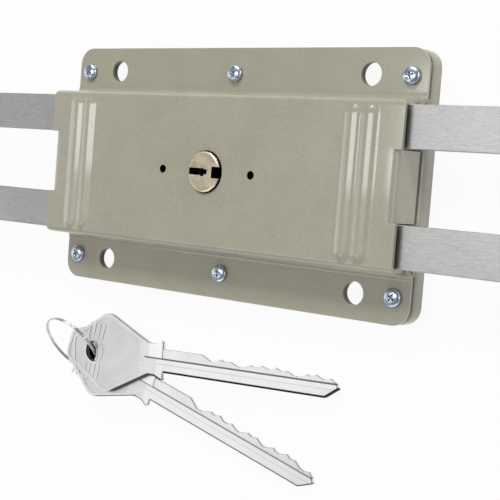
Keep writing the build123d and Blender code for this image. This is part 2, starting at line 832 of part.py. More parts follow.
def key_ring():
    """Two turns of wire side by side, leaning through both key heads."""
    section = None
    for k in (-1, 1):
        turn = Pos(ring_radius, 0, k * ring_wire * ring_turn_share) * Rot(90, 0, 0) * Circle(ring_wire)
        section = turn if section is None else section + turn
    ring = revolve(section, Axis.Z, 360)
    lean = Pos(key_hole_x - ring_in_hole_x, key_hole_y + ring_in_hole_y, rear_plane + ring_height())
    return lean * Rot(0, 0, ring_heading) * Rot(ring_lean, 0, 0) * Pos(-ring_radius, 0, 0) * ring


paint = (0.62, 0.61, 0.53)
bright = (0.72, 0.73, 0.74)
zinc = (0.66, 0.68, 0.72)
brass = (0.78, 0.68, 0.42)
black = (0.12, 0.12, 0.12)

rear_clip, front_clip = clip_levels()

save("front_cover", front_cover(), paint)
save("back_plate", back_plate(), paint)
save("cover_screws", cover_screws(), zinc)
save("upper_left_bar", flat_bolt(-1, 1), bright)
save("lower_left_bar", flat_bolt(-1, -1), bright)
save("upper_right_bar", flat_bolt(1, 1), bright)
save("lower_right_bar", flat_bolt(1, -1), bright)
save("left_yoke", yoke(left_yoke_back), zinc)
save("right_yoke", right_yoke(), zinc)
save("right_bar_spacers", right_bar_spacers(), zinc)
save("left_bar_rivets", bar_rivets(-1, left_yoke_back), bright)
save("right_bar_rivets", bar_rivets(1, right_yoke_back), bright)
save("drive_pinion", drive_pinion(), bright)
save("pinion_clip", spring_clip(front_clip), black)
save("cylinder_housing", cylinder_housing(), brass)
save("cylinder_plug", cylinder_plug(), brass)
save("plug_clip", spring_clip(rear_clip), black)
save("key_pins", key_pins(), brass)
save("driver_pins", driver_pins(), brass)
save("pin_springs", pin_springs(), bright)
save("pin_cover_strip", pin_cover_strip(), brass)
save("cylinder_screws", cylinder_screws(), zinc)
save("rack_pillars", rack_pillars(), bright)
save("left_bar_guide", bar_guide(-1), black)
save("right_bar_guide", bar_guide(1), black)
save("front_key", front_key(), bright)
save("rear_key", rear_key(), bright)
save("key_ring", key_ring(), bright)
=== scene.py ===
"""Looks for a roller shutter rim lock that lies on its back, with its keys beside it."""
from math import cos, hypot, pi, radians, sin, sqrt

import bmesh
import bpy
from mathutils import Matrix, Vector


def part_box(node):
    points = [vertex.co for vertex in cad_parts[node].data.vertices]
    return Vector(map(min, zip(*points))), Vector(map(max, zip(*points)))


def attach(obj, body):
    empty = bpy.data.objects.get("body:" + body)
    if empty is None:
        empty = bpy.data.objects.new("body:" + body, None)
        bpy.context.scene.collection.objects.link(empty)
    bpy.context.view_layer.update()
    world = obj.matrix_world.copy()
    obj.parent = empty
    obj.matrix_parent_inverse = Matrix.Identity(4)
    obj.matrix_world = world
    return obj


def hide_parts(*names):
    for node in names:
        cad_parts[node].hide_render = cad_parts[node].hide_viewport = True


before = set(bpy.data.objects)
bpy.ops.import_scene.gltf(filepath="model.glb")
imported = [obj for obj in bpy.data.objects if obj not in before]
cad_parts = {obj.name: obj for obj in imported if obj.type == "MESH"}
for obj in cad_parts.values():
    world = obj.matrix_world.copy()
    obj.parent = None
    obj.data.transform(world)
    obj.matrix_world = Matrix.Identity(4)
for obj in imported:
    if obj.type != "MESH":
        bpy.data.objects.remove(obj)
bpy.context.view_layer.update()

MM = 0.001

# The lock's sizes in millimetres. They are the CAD model's, except that BOX_FOOT, TONGUE_BEND and
# BEAD_HEIGHT, which are 1.6, 4.5 and 1.5 there, follow the shading in the photograph.
SHEET = 1.6
PLATE_X, PLATE_Y, PLATE_CORNER = 101.7, 57.5, 8.0
REAR = -10.0
PAN_BEND, PAN_RIM = 4.0, 2.0
BOX_TOP, BOX_Y = 16.0, 35.1
BOX_EDGE, BOX_FOOT, BOX_CORNER = 2.6, 3.6, 2.2
NOTCH, NOTCH_Y = 4.5, 38.0
TONGUE_X, TONGUE_Y, TONGUE_BEND, TONGUE_LOW = 100.0, 14.8, 3.2, -1.3
BEAD_X, BEAD_PITCH, BEAD_WIDTH, BEAD_HEIGHT, BEAD_END = 81.2, 8.0, 8.2, 1.2, 28.4
MOUNT_X, MOUNT_Y, MOUNT_R = 73.8, 46.3, 5.1
SCREW_X, SCREW_Y, SCREW_R = 93.9, 45.8, 2.3
PEEP_X, PEEP_R = 25.9, 1.9
FRONT_HOLE_R = 9.72
HEAD_R, HEAD_H = 4.1, 2.6
PLUG_TOP = 17.7

# The pan's own holes: for the pillars, the guides' spigots, the cylinder's screws and the cylinder
PILLAR_X, PILLAR_Y, PILLAR_R = 14.0, 18.5, 2.05
SPIGOT_X, SPIGOT_Y, SPIGOT_R = 89.7, 20.0, 2.45
CYLINDER_SCREW_R, HOUSING_R = 2.05, 13.8

# Where the cover's grid has its lines: over the flange, up the wall, and over the front, where they
# lie close together over the ribs and bend with the rounded ends past END_FROM
FLANGE_ROWS = (46.0, 43.0, 41.0, 39.6)
WALL_ROWS = (5.0, 7.0, 9.5, 12.4)
FRONT_ROWS = (26.0, 23.0, 20.0, 17.0, TONGUE_Y, 12.0, 9.0, 6.0, 3.0, 0.0)
RIB_ROWS_TO, RIB_ROW_STEP = 27.4, 0.4
WIDE_STEP, BEFORE_RIBS, AFTER_RIBS = 8.0, (68.0, 71.0), (92.0, 94.0)
RIBS_FROM, RIBS_TO, RIB_STEP, END_FROM = 72.0, 90.2, 0.35, 90.0

# Places closer together than this are taken as one, and every drill is this long
NEAR, DRILL_LENGTH = 0.01, 60.0

# How softly the two ribs of a pair meet, and how steeply their feet go on down under the front
BEAD_BLEND, BEAD_FOOT = 0.6, 0.7

# How wide the edges of each piece are broken
COVER_EDGE, PAN_EDGE, SCREW_EDGE, BAR_EDGE, KEY_EDGE, PLUG_EDGE = 0.62, 0.3, 0.12, 0.35, 0.4, 0.25

# The screw head's half section, in shares of its radius and height: its foot, its widest place,
# the end of its side, the flat of its crown, and the power that rounds its dome
HEAD_FOOT, HEAD_WIDEST, HEAD_SIDE, HEAD_FLAT, DOME = 0.94, 0.12, (0.995, 0.38), 0.18, 0.9

# The cover's screws: the stub under the head, a recess wing's half width, reach and level at its
# top and at its foot, and each screw's turn in degrees
STUB_R, STUB = 2.05, 2.0
WING_TOP, WING_FOOT = (0.42, 2.35, 3.2), (0.2, 1.1, 0.9)
SCREW_TURNS = (24.0, 71.0, 8.0, 40.0, 58.0, 15.0)
SCREW_PLACES = [(sx * SCREW_X, sy * SCREW_Y) for sx in (-1, 0, 1) for sy in (-1, 1)]

# The split ring: its radius and its wire's, which is 0.4 in the CAD model, its lean and heading in
# degrees, where the wire starts and how far it ends short of two turns, in radians, the shares of
# its length where it starts to cross over and that the crossing takes, and the distance of the
# turns in wire diameters
RING_R, RING_WIRE, RING_LEAN, RING_HEADING = 16.6, 0.44, 38.0, -6.0
RING_START, RING_SHORT, CROSS_FROM, CROSS_SHARE, TURN_GAP = 2.2, 0.12, 0.44, 0.12, 0.85

# The painted shade in the gap between the cover and the pan: its levels, and where it starts from the
# middle
GAP_LOW, GAP_HIGH, GAP_START = -3.2, -1.45, 36.9

# The marks of the lathe on brass, in radians to a metre of radius, the radius of the plug's bevel,
# outside which a highlight is painted, and the radius within which, and the level over which, the other
# brass pieces are painted dark as shade
TURNING, PLUG_BEVEL_R, BRASS_SHADE_R, BRASS_SHADE_Z = 26000.0, 8.6, 9.6, 0.3

# The floor's half side and its drop under the lock, the wall's radius and height, and the radius
# of the dull patch of floor that lies under the key slot, then the strength of the plain light
ROOM, FLOOR_DROP, WALL_R, WALL, UNDER_SLOT = 6000.0, 0.05, 5900.0, 1500.0, 22.0
WORLD = 0.27

# The keys' sizes and places, in millimetres and degrees, as in the CAD model, some of them rounded
KEY_SHOULDER, KEY_GROOVE, KEY_THICK, KEY_BLADE, KEY_TIP_FOOT = 44.0, 0.95, 2.5, 5.6, 135.6
KEY_TIP_SLOPE = radians(33.3)
KEY_HOLE = (-75.1, -92.8)
KEY_HEADING, KEY_SPREAD, KEY_GAP = -6.8, 17.4, 0.2
KEY_STACK, KEY_DIP = 8.42, 3.378
REAR_SHIFT = (-5.0, -3.0, 0.0)

# The lower outline of a key's head, neck and collar: two slopes with their heights at the hole,
# and the neck's half height between them
HEAD_SLOPE, HEAD_AT_HOLE, NECK, COLLAR_SLOPE, COLLAR_AT_HOLE = 0.479, -24.57, 7.8, 0.444, 9.74

# Each lamp's name, place and target, its width and height, in metres, and its power in watts
LAMPS = [
    ("overhead", (-0.258, 0.095, 1.2), (-0.258, 0.095, 0.0), (0.756, 0.2), 3.1),
    ("upper_key", (-0.05, 1.04, 0.88), (0.0, 0.0, 0.0), (1.0, 0.35), 10.0),
    ("left_fill", (-1.15, -0.05, 0.5), (0.0, 0.0, 0.0), (0.5, 0.7), 1.0),
    ("right_fill", (1.2, 0.45, 0.32), (0.1, 0.0, 0.0), (0.15, 0.15), 2.4),
    ("edge_strip", (1.12, 0.05, 0.48), (0.1, 0.0, 0.0), (0.5, 0.15), 1.1),
    ("front_fill", (0.0, -0.9, 0.35), (0.0, 0.0, 0.0), (1.2, 0.6), 2.2),
    ("key_card", (-0.68, -0.38, 0.95), (-0.68, -0.38, 0.0), (0.56, 0.26), 0.8),
]

# The camera's lens in millimetres, then its turn, and its place in metres in the last column. Both
# were fitted to the photograph
LENS = 89.78
SIGHT = Matrix(((0.7780485, -0.0965822, 0.6207354, 0.366028),
                (0.0788458, 0.9953107, 0.0560359, -0.001936),
                (-0.6232366, 0.0053437, 0.7820151, 0.440525),
                (0.0, 0.0, 0.0, 1.0)))


def key_frame(level, turn, shift=(0.0, 0.0, 0.0)):
    """A key's own frame at rest, with its hole at the origin and its blade along X."""
    lay = Matrix.Translation((*KEY_HOLE, REAR + KEY_STACK))
    lay = lay @ Matrix.Rotation(radians(KEY_HEADING), 4, "Z") @ Matrix.Rotation(radians(KEY_DIP), 4, "Y")
    return lay @ Matrix.Translation((0.0, 0.0, level)) @ Matrix.Rotation(radians(turn), 4, "Z") @ \
        Matrix.Translation(shift)


class Value:
    """A number or colour that changes over a surface. Sums on it add Math nodes."""

    def __init__(self, finish, socket):
        self.finish = finish
        self.socket = socket

    def math(self, operation, first, second=0.0):
        return self.finish.add("Math", {"operation": operation}, {0: first, 1: second})

    def __add__(self, other):
        return self.math("ADD", self, other)

    def __radd__(self, other):
        return self.math("ADD", other, self)

    def __sub__(self, other):
        return self.math("SUBTRACT", self, other)

    def __rsub__(self, other):
        return self.math("SUBTRACT", other, self)

    def __mul__(self, other):
        return self.math("MULTIPLY", self, other)

    def __rmul__(self, other):
        return self.math("MULTIPLY", other, self)

    def __pow__(self, other):
        return self.math("POWER", self, other)

    def __rpow__(self, other):
        return self.math("POWER", other, self)

    def at_least(self, other):
        return self.math("MAXIMUM", self, other)

    def at_most(self, other):
        return self.math("MINIMUM", self, other)

    def absolute(self):
        return self.math("ABSOLUTE", self)

    def sine(self):
        return self.math("SINE", self)

    def step(self, low, high):
        """0 below low, 1 above high, smooth between; high < low turns it round."""
        return self.finish.add("MapRange", {"interpolation_type": "SMOOTHSTEP"},
                               {"Value": self, "From Min": low, "From Max": high})

    def step_mm(self, low, high):
        """The same for a length in metres, with its limits in millimetres."""
        return self.step(low * MM, high * MM)


class Finish:
    """A procedural material, built one node at a time."""

    def __init__(self, name, metal=0.0):
        self.material = bpy.data.materials.new(name)
        self.material.use_nodes = True
        self.tree = self.material.node_tree
        self.tree.nodes.clear()
        self.out = self.tree.nodes.new("ShaderNodeOutputMaterial")
        self.shader = self.tree.nodes.new("ShaderNodeBsdfPrincipled")
        self.tree.links.new(self.shader.outputs[0], self.out.inputs["Surface"])
        self.put(self.shader.inputs["Metallic"], metal)

    def put(self, socket, value):
        """Link a value to a socket, or set a plain number or colour on it."""
        if isinstance(value, Value):
            self.tree.links.new(value.socket, socket)
        elif socket.type == "RGBA" and len(value) == 3:
            socket.default_value = (*value, 1.0)
        else:
            socket.default_value = value

    def add(self, kind, settings=None, inputs=None, output=0):
        """A new node with its settings made first, then its sockets. Gives one of its outputs."""
        node = self.tree.nodes.new("ShaderNode" + kind)
        for name, value in (settings or {}).items():
            setattr(node, name, value)
        for key, value in (inputs or {}).items():
            self.put(node.inputs[key], value)
        return Value(self, node.outputs[output])

    def place(self):
        """The point in the row frame, in metres."""
        return self.add("TexCoord", output=3)

    def split(self, vector):
        """A vector's X, Y and Z."""
        node = self.add("SeparateXYZ", inputs={0: vector}).socket.node
        return [Value(self, node.outputs[k]) for k in range(3)]

    def axes(self):
        """The point's X, Y and Z in the row frame, in metres."""
        return self.split(self.place())

    def noise(self, scale, detail=2.0, roughness=0.5, stretch=None):
        """Soft noise from 0 to 1. stretch scales the axes apart."""
        source = self.place()
        if stretch:
            source = self.add("VectorMath", {"operation": "MULTIPLY"}, {0: source, 1: stretch})
        return self.add("TexNoise", inputs={"Vector": source, "Scale": scale, "Detail": detail,
                                            "Roughness": roughness})

    def mixed(self, share, first, second):
        """The first colour where share is 0, the second where it is 1."""
        return self.add("Mix", {"data_type": "RGBA"}, {0: share, 6: first, 7: second}, output=2)

    def normal(self):
        return self.add("NewGeometry", output=1)

    def facing_up(self):
        """How far the surface looks along +Z, from -1 to 1."""
        return self.split(self.normal())[2]

    def bump(self, height, depth, strength):
        """Relief on the surface. depth is in millimetres."""
        return self.add("Bump", inputs={"Strength": strength, "Distance": depth * MM, "Height": height})

    def surface(self, **sockets):
        """Set the shader's sockets, such as base_color for Base Color."""
        for name, value in sockets.items():
            self.put(self.shader.inputs[name.replace("_", " ").title()], value)
        return self.material


def far_from(x, y):
    """How far a point is from a centre, from its distances along X and Y."""
    return (x * x + y * y) ** 0.5


def grey(level):
    return (level, level, level)


def enamel(name, light, dark):
    """Glossy grey-beige enamel with a faint mottle and orange peel.

    Shade is painted dark on the walls of the holes and in the gap between the cover and the pan, which
    have no clear coat.
    """
    f = Finish(name)
    x, y, z = f.axes()
    across, far = x.absolute(), y.absolute()
    cloud = f.noise(55.0, 3.0)
    grain = f.noise(900.0)
    peel = f.noise(260.0, 2.0, 0.4)
    shade = f.mixed((cloud * 0.45 + grain * 0.55).step(0.34, 0.66), dark, light)
    wall = f.facing_up().absolute().step(0.6, 0.3)
    # Painted shade: the walls of the peep holes and the middle hole are near black
    peep = far_from(across - PEEP_X * MM, y).step_mm(PEEP_R + 0.3, PEEP_R + 0.1)
    middle = far_from(x, y).step_mm(FRONT_HOLE_R + 0.3, FRONT_HOLE_R + 0.1)
    hole_shade = peep.at_least(middle) * wall
    # Painted shade: the walls of the mounting holes are dark brown
    mount = far_from(across - MOUNT_X * MM, far - MOUNT_Y * MM)
    bore_shade = mount.step_mm(MOUNT_R + 0.4, MOUNT_R + 0.1) * wall
    # Painted shade in the gap between the cover and the pan, and under the tongue's foot
    gap_shade = z.step_mm(GAP_LOW - 0.7, GAP_LOW) * z.step_mm(GAP_HIGH + 0.3, GAP_HIGH) \
        * far.step_mm(GAP_START - 0.5, GAP_START)
    tongue_gap_shade = across.step_mm(TONGUE_X + 0.4, TONGUE_X - 0.05) \
        * far.step_mm(TONGUE_Y + 0.4, TONGUE_Y + 0.1) * z.step_mm(TONGUE_LOW + 0.45, TONGUE_LOW + 0.15)
    gap_shade = gap_shade.at_least(tongue_gap_shade * 0.6)
    shade = f.mixed(bore_shade * 0.8, shade, (0.07, 0.06, 0.035))
    shade = f.mixed(gap_shade * 0.88, shade, (0.035, 0.03, 0.02))
    shade = f.mixed(hole_shade, shade, grey(0.012))
    # The clear coat is left off where shade is painted
    painted_shade = bore_shade.at_least(hole_shade).at_least(gap_shade)
    return f.surface(base_color=shade, roughness=0.24 + grain * 0.12,
                     normal=f.bump(peel + grain * 0.12, 0.09, 0.55),
                     coat_weight=0.8 - painted_shade * 0.8, coat_roughness=0.08)


def brushed(name, light, dark):
    """Steel with short fine scratches along X."""
    f = Finish(name, 1.0)
    lines = f.noise(40.0, 5.0, 0.7, stretch=(5.0, 60.0, 60.0))
    grain = f.noise(2200.0, 3.0, 0.6)
    spots = f.noise(60.0, 3.0)
    mark = (lines * 0.5 + grain * 0.35 + spots * 0.15).step(0.36, 0.64)
    return f.surface(base_color=f.mixed(mark, dark, light),
                     roughness=0.32 + grain * 0.14 + spots * 0.08,
                     normal=f.bump(lines * 0.5 + grain * 0.5, 0.02, 0.8))


def plated(name, light, dark, rough):
    """Plated steel: even, with faint clouds."""
    f = Finish(name, 1.0)
    cloud = f.noise(420.0, 3.0)
    fine = f.noise(2400.0)
    return f.surface(base_color=f.mixed(cloud.step(0.3, 0.7), dark, light),
                     roughness=rough + fine * 0.14,
                     normal=f.bump(cloud + fine * 0.4, 0.03, 0.5))


def turned_brass(name, light, dark):
    """Pale brass with fine rings round the lock's middle axis, with shade painted dark where the case
    hides it.
    """
    f = Finish(name, 1.0)
    x, y, z = f.axes()
    radius = far_from(x, y)
    rings = (radius * TURNING).sine() * 0.5 + 0.5
    spread = f.noise(300.0, 3.0)
    fine = f.noise(3000.0)
    shade = f.mixed((rings * 0.35 + spread * 0.65).step(0.3, 0.75), dark, light)
    # Painted shade: brass within the dark radius and brass over the dark level is made near black, where
    # the case hides it
    painted_dark_shade = radius.step_mm(BRASS_SHADE_R + 0.3, BRASS_SHADE_R)
    painted_dark_shade = painted_dark_shade.at_least(z.step_mm(BRASS_SHADE_Z - 0.25, BRASS_SHADE_Z))
    shade = f.mixed(painted_dark_shade, shade, (0.01, 0.01, 0.009))
    return f.surface(base_color=shade, roughness=0.26 + spread * 0.1 + fine * 0.06 + painted_dark_shade * 0.5,
                     normal=f.bump(rings * 0.5 + fine * 0.5, 0.012, 0.8))


def plug_face(name, light, dark):
    """The plug's pale brass face with a painted highlight on its bevel. Its slots and its side have
    painted shade.
    """
    f = Finish(name, 1.0)
    x, y, z = f.axes()
    radius = far_from(x, y)
    rings = (radius * TURNING).sine() * 0.5 + 0.5
    spread = f.noise(300.0, 3.0)
    fine = f.noise(1500.0)
    shade = f.mixed((rings * 0.1 + spread * 0.55 + fine * 0.35).step(0.34, 0.66), dark, light)
    # Painted shade makes the slots and the side near black, and a painted highlight lightens the bevel
    wall = f.facing_up().absolute().step(0.75, 0.55)
    painted_dark_shade = z.step_mm(PLUG_TOP - 0.75, PLUG_TOP - 1.0).at_least(wall)
    bevel = radius.step_mm(PLUG_BEVEL_R - 0.25, PLUG_BEVEL_R) * (1.0 - wall)
    shade = f.mixed(bevel * 0.75, shade, (0.95, 0.9, 0.76))
    shade = f.mixed(painted_dark_shade, shade, (0.012, 0.011, 0.01))
    return f.surface(base_color=shade, roughness=0.3 + spread * 0.1 + fine * 0.1 + painted_dark_shade * 0.5,
                     normal=f.bump(rings * 0.3 + fine * 0.7, 0.014, 0.8))


def key_steel(name, place, groove_dark, edge_width, edge_hold, head_edge_width):
    """Nickel silver on a key. place is the key's own frame: its blade along X, its hole at 0.

    groove_dark is how much shade is painted into the groove. A line of painted shade along the lower edge
    is edge_width wide on the blade, where it fades to edge_hold in places, and head_edge_width wide on
    the head.
    """
    f = Finish(name, 1.0)
    x, y, z = f.axes()
    along, across, up = [(x * row[0] + y * row[1] + z * row[2] + row[3] * MM) * 1000.0
                         for row in place.inverted()[:3]]
    facing_top = f.add("VectorMath", {"operation": "DOT_PRODUCT"},
                       {0: f.normal(), 1: place.to_3x3() @ Vector((0.0, 0.0, 1.0))}, output=1)
    past = along - KEY_SHOULDER
    over = across - KEY_GROOVE
    depth = KEY_THICK - up
    grain = f.noise(1500.0, 3.0, 0.6)
    cloud = f.noise(90.0, 3.0)
    shade = f.mixed((grain * 0.6 + cloud * 0.4).step(0.35, 0.65), grey(0.7), grey(0.86))

    # The blade is brighter than the head, with file marks on its teeth. Above the groove, the collar
    # before it is polished.
    blade = past.step(-5.0, -3.0)
    shade = f.mixed(blade * 0.6, shade, grey(0.95))
    marks = ((along * 11.0).sine() * 0.5 + 0.5) * past.step(8.0, 14.0) * over.step(0.0, 0.4)
    shade = f.mixed(marks * 0.22, shade, grey(0.45))
    polish = past.step(-8.5, -8.0) * past.step(-0.6, -1.0) * over.step(0.0, 0.3)
    shade = f.mixed(polish * 0.8, shade, grey(1.0))

    # The groove and the upper part of the sides get painted shade. A faint line below the groove and the
    # head's recess are darker.
    line = (over + 2.6).absolute().step(0.4, 0.1) * blade
    shade = f.mixed(line * 0.25, shade, grey(0.3))
    groove = over.absolute().step(0.5, 0.25) * past.step(-11.5, -10.5)
    shade = f.mixed(groove * groove_dark, shade, grey(0.06))
    recess = depth.step(0.05, 0.15) * up.step(0.2, 0.3) * (1.0 - blade)
    shade = f.mixed(recess * 0.18, shade, grey(0.4))
    side = facing_top.step(0.9, 0.6) * depth.step(1.5, 1.0)
    shade = f.mixed(side * 0.75, shade, grey(0.1))

    # A line of painted shade follows the blade's lower edge and the slope of its tip, then the head.
    from_low = across + KEY_BLADE
    from_tip = from_low * cos(KEY_TIP_SLOPE) - (along - KEY_TIP_FOOT) * sin(KEY_TIP_SLOPE)
    edge = from_low.at_most(from_tip).step(edge_width, edge_width * 0.6) * past.step(0.0, 1.0)
    edge = edge * (1.0 - (1.0 - edge_hold) * (along * 5.5).sine().step(-0.6, 0.2))
    head_low = (along * HEAD_SLOPE + HEAD_AT_HOLE).at_most(-NECK)
    head_low = head_low.at_most(COLLAR_AT_HOLE - along * COLLAR_SLOPE)
    head_edge_shade = (across - head_low).step(head_edge_width, head_edge_width * 0.4) \
        * along.step(8.0, 14.0) * past.step(0.2, -0.2)
    shade = f.mixed(edge.at_least(head_edge_shade * 0.95), shade, grey(0.015))
    return f.surface(base_color=shade, roughness=0.3 + grain * 0.14 + cloud * 0.06,
                     normal=f.bump(grain + marks * 0.4, 0.02, 0.7))


def moulded(name, colour, pale):
    """Black moulded plastic with a fine matt texture."""
    f = Finish(name)
    fine = f.noise(1800.0, 3.0)
    cloud = f.noise(90.0, 2.0)
    shade = f.mixed(cloud.step(0.3, 0.7), colour, pale)
    return f.surface(base_color=shade, roughness=0.46 + fine * 0.2,
                     normal=f.bump(fine, 0.04, 0.6))


def placed(name, data):
    """A new object in the scene."""
    obj = bpy.data.objects.new(name, data)
    bpy.context.scene.collection.objects.link(obj)
    return obj


def mesh_object(name, build):
    """A new object from a bmesh that is written in millimetres."""
    mesh = bpy.data.meshes.new(name)
    build.normal_update()
    build.to_mesh(mesh)
    build.free()
    mesh.transform(Matrix.Scale(MM, 4))
    return placed(name, mesh)


def apply_modifiers(obj):
    """Keep the shape that the modifiers give, without the modifiers."""
    bpy.context.view_layer.update()
    shaped = bpy.data.meshes.new_from_object(obj.evaluated_get(bpy.context.evaluated_depsgraph_get()))
    old = obj.data
    obj.modifiers.clear()
    obj.data = shaped
    bpy.data.meshes.remove(old)
    return obj


def modifier(obj, kind, **settings):
    """Put a modifier on an object, to be made part of its shape later."""
    added = obj.modifiers.new(kind.lower(), kind)
    for name, value in settings.items():
        setattr(added, name, value)


def round_edges(obj, width, segments=2, angle=40.0):
    """Break the sharp edges and shade the rest smooth."""
    for face in obj.data.polygons:
        face.use_smooth = True
    modifier(obj, "BEVEL", width=width * MM, segments=segments, limit_method="ANGLE",
             angle_limit=radians(angle), harden_normals=False, use_clamp_overlap=True,
             miter_outer="MITER_ARC")
    modifier(obj, "WEIGHTED_NORMAL", keep_sharp=True, weight=60)
    return apply_modifiers(obj)


def finish_with(obj, material, body, node):
    """Give a piece its material and the body it rides on, in place of a CAD node."""
    obj.data.materials.clear()
    obj.data.materials.append(material)
    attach(obj, body)
    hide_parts(node)


def cut_away(obj, cutter, **settings):
    """Take the cutter's shape out of a piece, and the cutter out of the scene."""
    modifier(obj, "BOOLEAN", operation="DIFFERENCE", solver="EXACT", object=cutter, **settings)
    apply_modifiers(obj)
    spare = cutter.data
    bpy.data.objects.remove(cutter)
    bpy.data.meshes.remove(spare)


def drill(obj, holes):
    """Cut round holes along Z, each given as x, y and radius."""
    build = bmesh.new()
    for x, y, radius in holes:
        bmesh.ops.create_cone(build, cap_ends=True, segments=64, radius1=radius, radius2=radius,
                              depth=DRILL_LENGTH, matrix=Matrix.Translation((x, y, 0.0)))
    cut_away(obj, mesh_object("cutter", build))


def pressed_sheet(name, build, holes, edge, segments=2):
    """Give an outer face the sheet's thickness inward, drill it and break its edges."""
    obj = mesh_object(name, build)
    modifier(obj, "SOLIDIFY", thickness=SHEET * MM, offset=-1.0, use_even_offset=True,
             use_quality_normals=True)
    apply_modifiers(obj)
    drill(obj, holes)
    return round_edges(obj, edge, segments)


def four_holes(x, y, radius):
    """The same hole in each quarter of the case."""
    return [(sx * x, sy * y, radius) for sx in (-1, 1) for sy in (-1, 1)]


def case_holes():
    """The holes that the cover and the pan share."""
    return four_holes(MOUNT_X, MOUNT_Y, MOUNT_R) + [(x, y, SCREW_R) for x, y in SCREW_PLACES]


def bead_rise(x, y):
    """How far the two pressed ribs of a side rise over the front, with soft feet."""
    radius = (BEAD_WIDTH**2 / 4 + BEAD_HEIGHT**2) / (2 * BEAD_HEIGHT)
    rise = 0.0
    for step in (-1, 1):
        across = abs(x) - BEAD_X - step * BEAD_PITCH / 2
        past = max(0.0, abs(y) - BEAD_END)
        distance = hypot(across, past)
        arc = sqrt(max(0.0, radius**2 - distance**2)) - (radius - BEAD_HEIGHT)
        if distance > BEAD_WIDTH / 2:
            arc = -(distance - BEAD_WIDTH / 2) * BEAD_FOOT
        gap = max(0.0, BEAD_BLEND - abs(rise - arc)) / BEAD_BLEND
        rise = max(rise, arc) + gap * gap * BEAD_BLEND / 4
    return rise


def arc_points(centre, radius, start, end, count):
    """Points on an arc in count steps. start and end are in degrees."""
    turns = [radians(start + (end - start) * k / count) for k in range(count + 1)]
    return [(centre[0] + radius * cos(a), centre[1] + radius * sin(a)) for a in turns]


def cover_rows():
    """Half of the cover's section, from the flange's edge in to the middle line."""
    rows = [(PLATE_Y - PLATE_CORNER + PLATE_CORNER * sin(radians(90 - 10 * k)), 0.0) for k in range(10)]
    rows += [(y, 0.0) for y in FLANGE_ROWS]
    rows += arc_points((BOX_Y + BOX_FOOT, BOX_FOOT), BOX_FOOT, 270, 180, 12)
    rows += [(BOX_Y, z) for z in WALL_ROWS]
    rows += arc_points((BOX_Y - BOX_EDGE, BOX_TOP - BOX_EDGE), BOX_EDGE, 0, 90, 10)
    y = BOX_Y - BOX_EDGE
    while y > RIB_ROWS_TO:
        y -= RIB_ROW_STEP
        rows.append((y, BOX_TOP))
    return rows + [(y, BOX_TOP) for y in FRONT_ROWS]


def row_end(y, z):
    """Where the sheet ends in X on a row of the section."""
    y = abs(y)
    if y > NOTCH_Y:
        past = max(0.0, y - PLATE_Y + PLATE_CORNER)
        return PLATE_X - PLATE_CORNER + sqrt(max(0.0, PLATE_CORNER**2 - past**2))
    if z < BOX_FOOT:
        past = NOTCH_Y - y
        return PLATE_X - NOTCH + sqrt(max(0.0, NOTCH**2 - past**2))
    past = max(0.0, y - BOX_Y + BOX_CORNER)
    return PLATE_X - BOX_CORNER + sqrt(max(0.0, BOX_CORNER**2 - past**2))


def bent_x(x, y, z):
    """A grid line's place along X on a row, bent with the sheet's rounded end."""
    if x <= END_FROM:
        return x
    return END_FROM + (x - END_FROM) * (row_end(y, z) - END_FROM) / (PLATE_X - END_FROM)


def cover_stations():
    """Places along X from the middle to where the tongue starts to bend."""
    stations = [WIDE_STEP * k for k in range(9)] + [*BEFORE_RIBS, RIBS_FROM]
    while stations[-1] < RIBS_TO:
        stations.append(stations[-1] + RIB_STEP)
    return stations + [*AFTER_RIBS, TONGUE_X - TONGUE_BEND]


def tongue_path():
    """The tongue's outer face after the start of its bend: along X and Z."""
    high = BOX_TOP - TONGUE_BEND
    path = arc_points((TONGUE_X - TONGUE_BEND, high), TONGUE_BEND, 90, 0, 10)[1:]
    return path + [(TONGUE_X, high + (TONGUE_LOW - high) * k / 4) for k in range(1, 5)]


def cover_grid(build):
    """The cover's outer face, as a grid of rows along the section and places along X.

    Past the last station, the rows of the tongue go on down its bend, and the others out to the
    sheet's end. The two rows at the tongue's sides do both.
    """
    half = cover_rows()
    rows = half + [(-y, z) for y, z in reversed(half[:-1])]
    stations = cover_stations()
    bend = tongue_path()
    flat = stations[-1]
    sheet = []
    tongue = []
    for y, z in rows:
        on_front = z > BOX_TOP - NEAR
        on_tongue = on_front and abs(y) <= TONGUE_Y + NEAR
        at_side = abs(abs(y) - TONGUE_Y) < NEAR
        sheet_row = {}
        tongue_row = {}
        for side in (-1, 1):
            for k, station in enumerate(stations):
                if side == -1 and k == 0:
                    continue
                x = bent_x(station, y, z)
                rise = bead_rise(x, y) if on_front else 0.0
                sheet_row[side * k] = build.verts.new((side * x, y, z + rise))
            for m, (bend_x, bend_z) in enumerate(bend):
                key = side * (len(stations) + m)
                if at_side or not on_tongue:
                    x = bent_x(flat + (PLATE_X - flat) * ((m + 1) / len(bend)), y, z)
                    sheet_row[key] = build.verts.new((side * x, y, z))
                if on_tongue:
                    tongue_row[key] = build.verts.new((side * bend_x, y, bend_z))
        sheet.append(sheet_row)
        tongue.append(tongue_row)
    last = len(stations) - 1 + len(bend)
    for j in range(len(rows) - 1):
        down = bool(tongue[j]) and bool(tongue[j + 1])
        for k in range(-last, last):
            corners = ((j, k), (j + 1, k), (j + 1, k + 1), (j, k + 1))
            build.faces.new([tongue[row][key] if down and key in tongue[row] else sheet[row][key]
                             for row, key in corners])


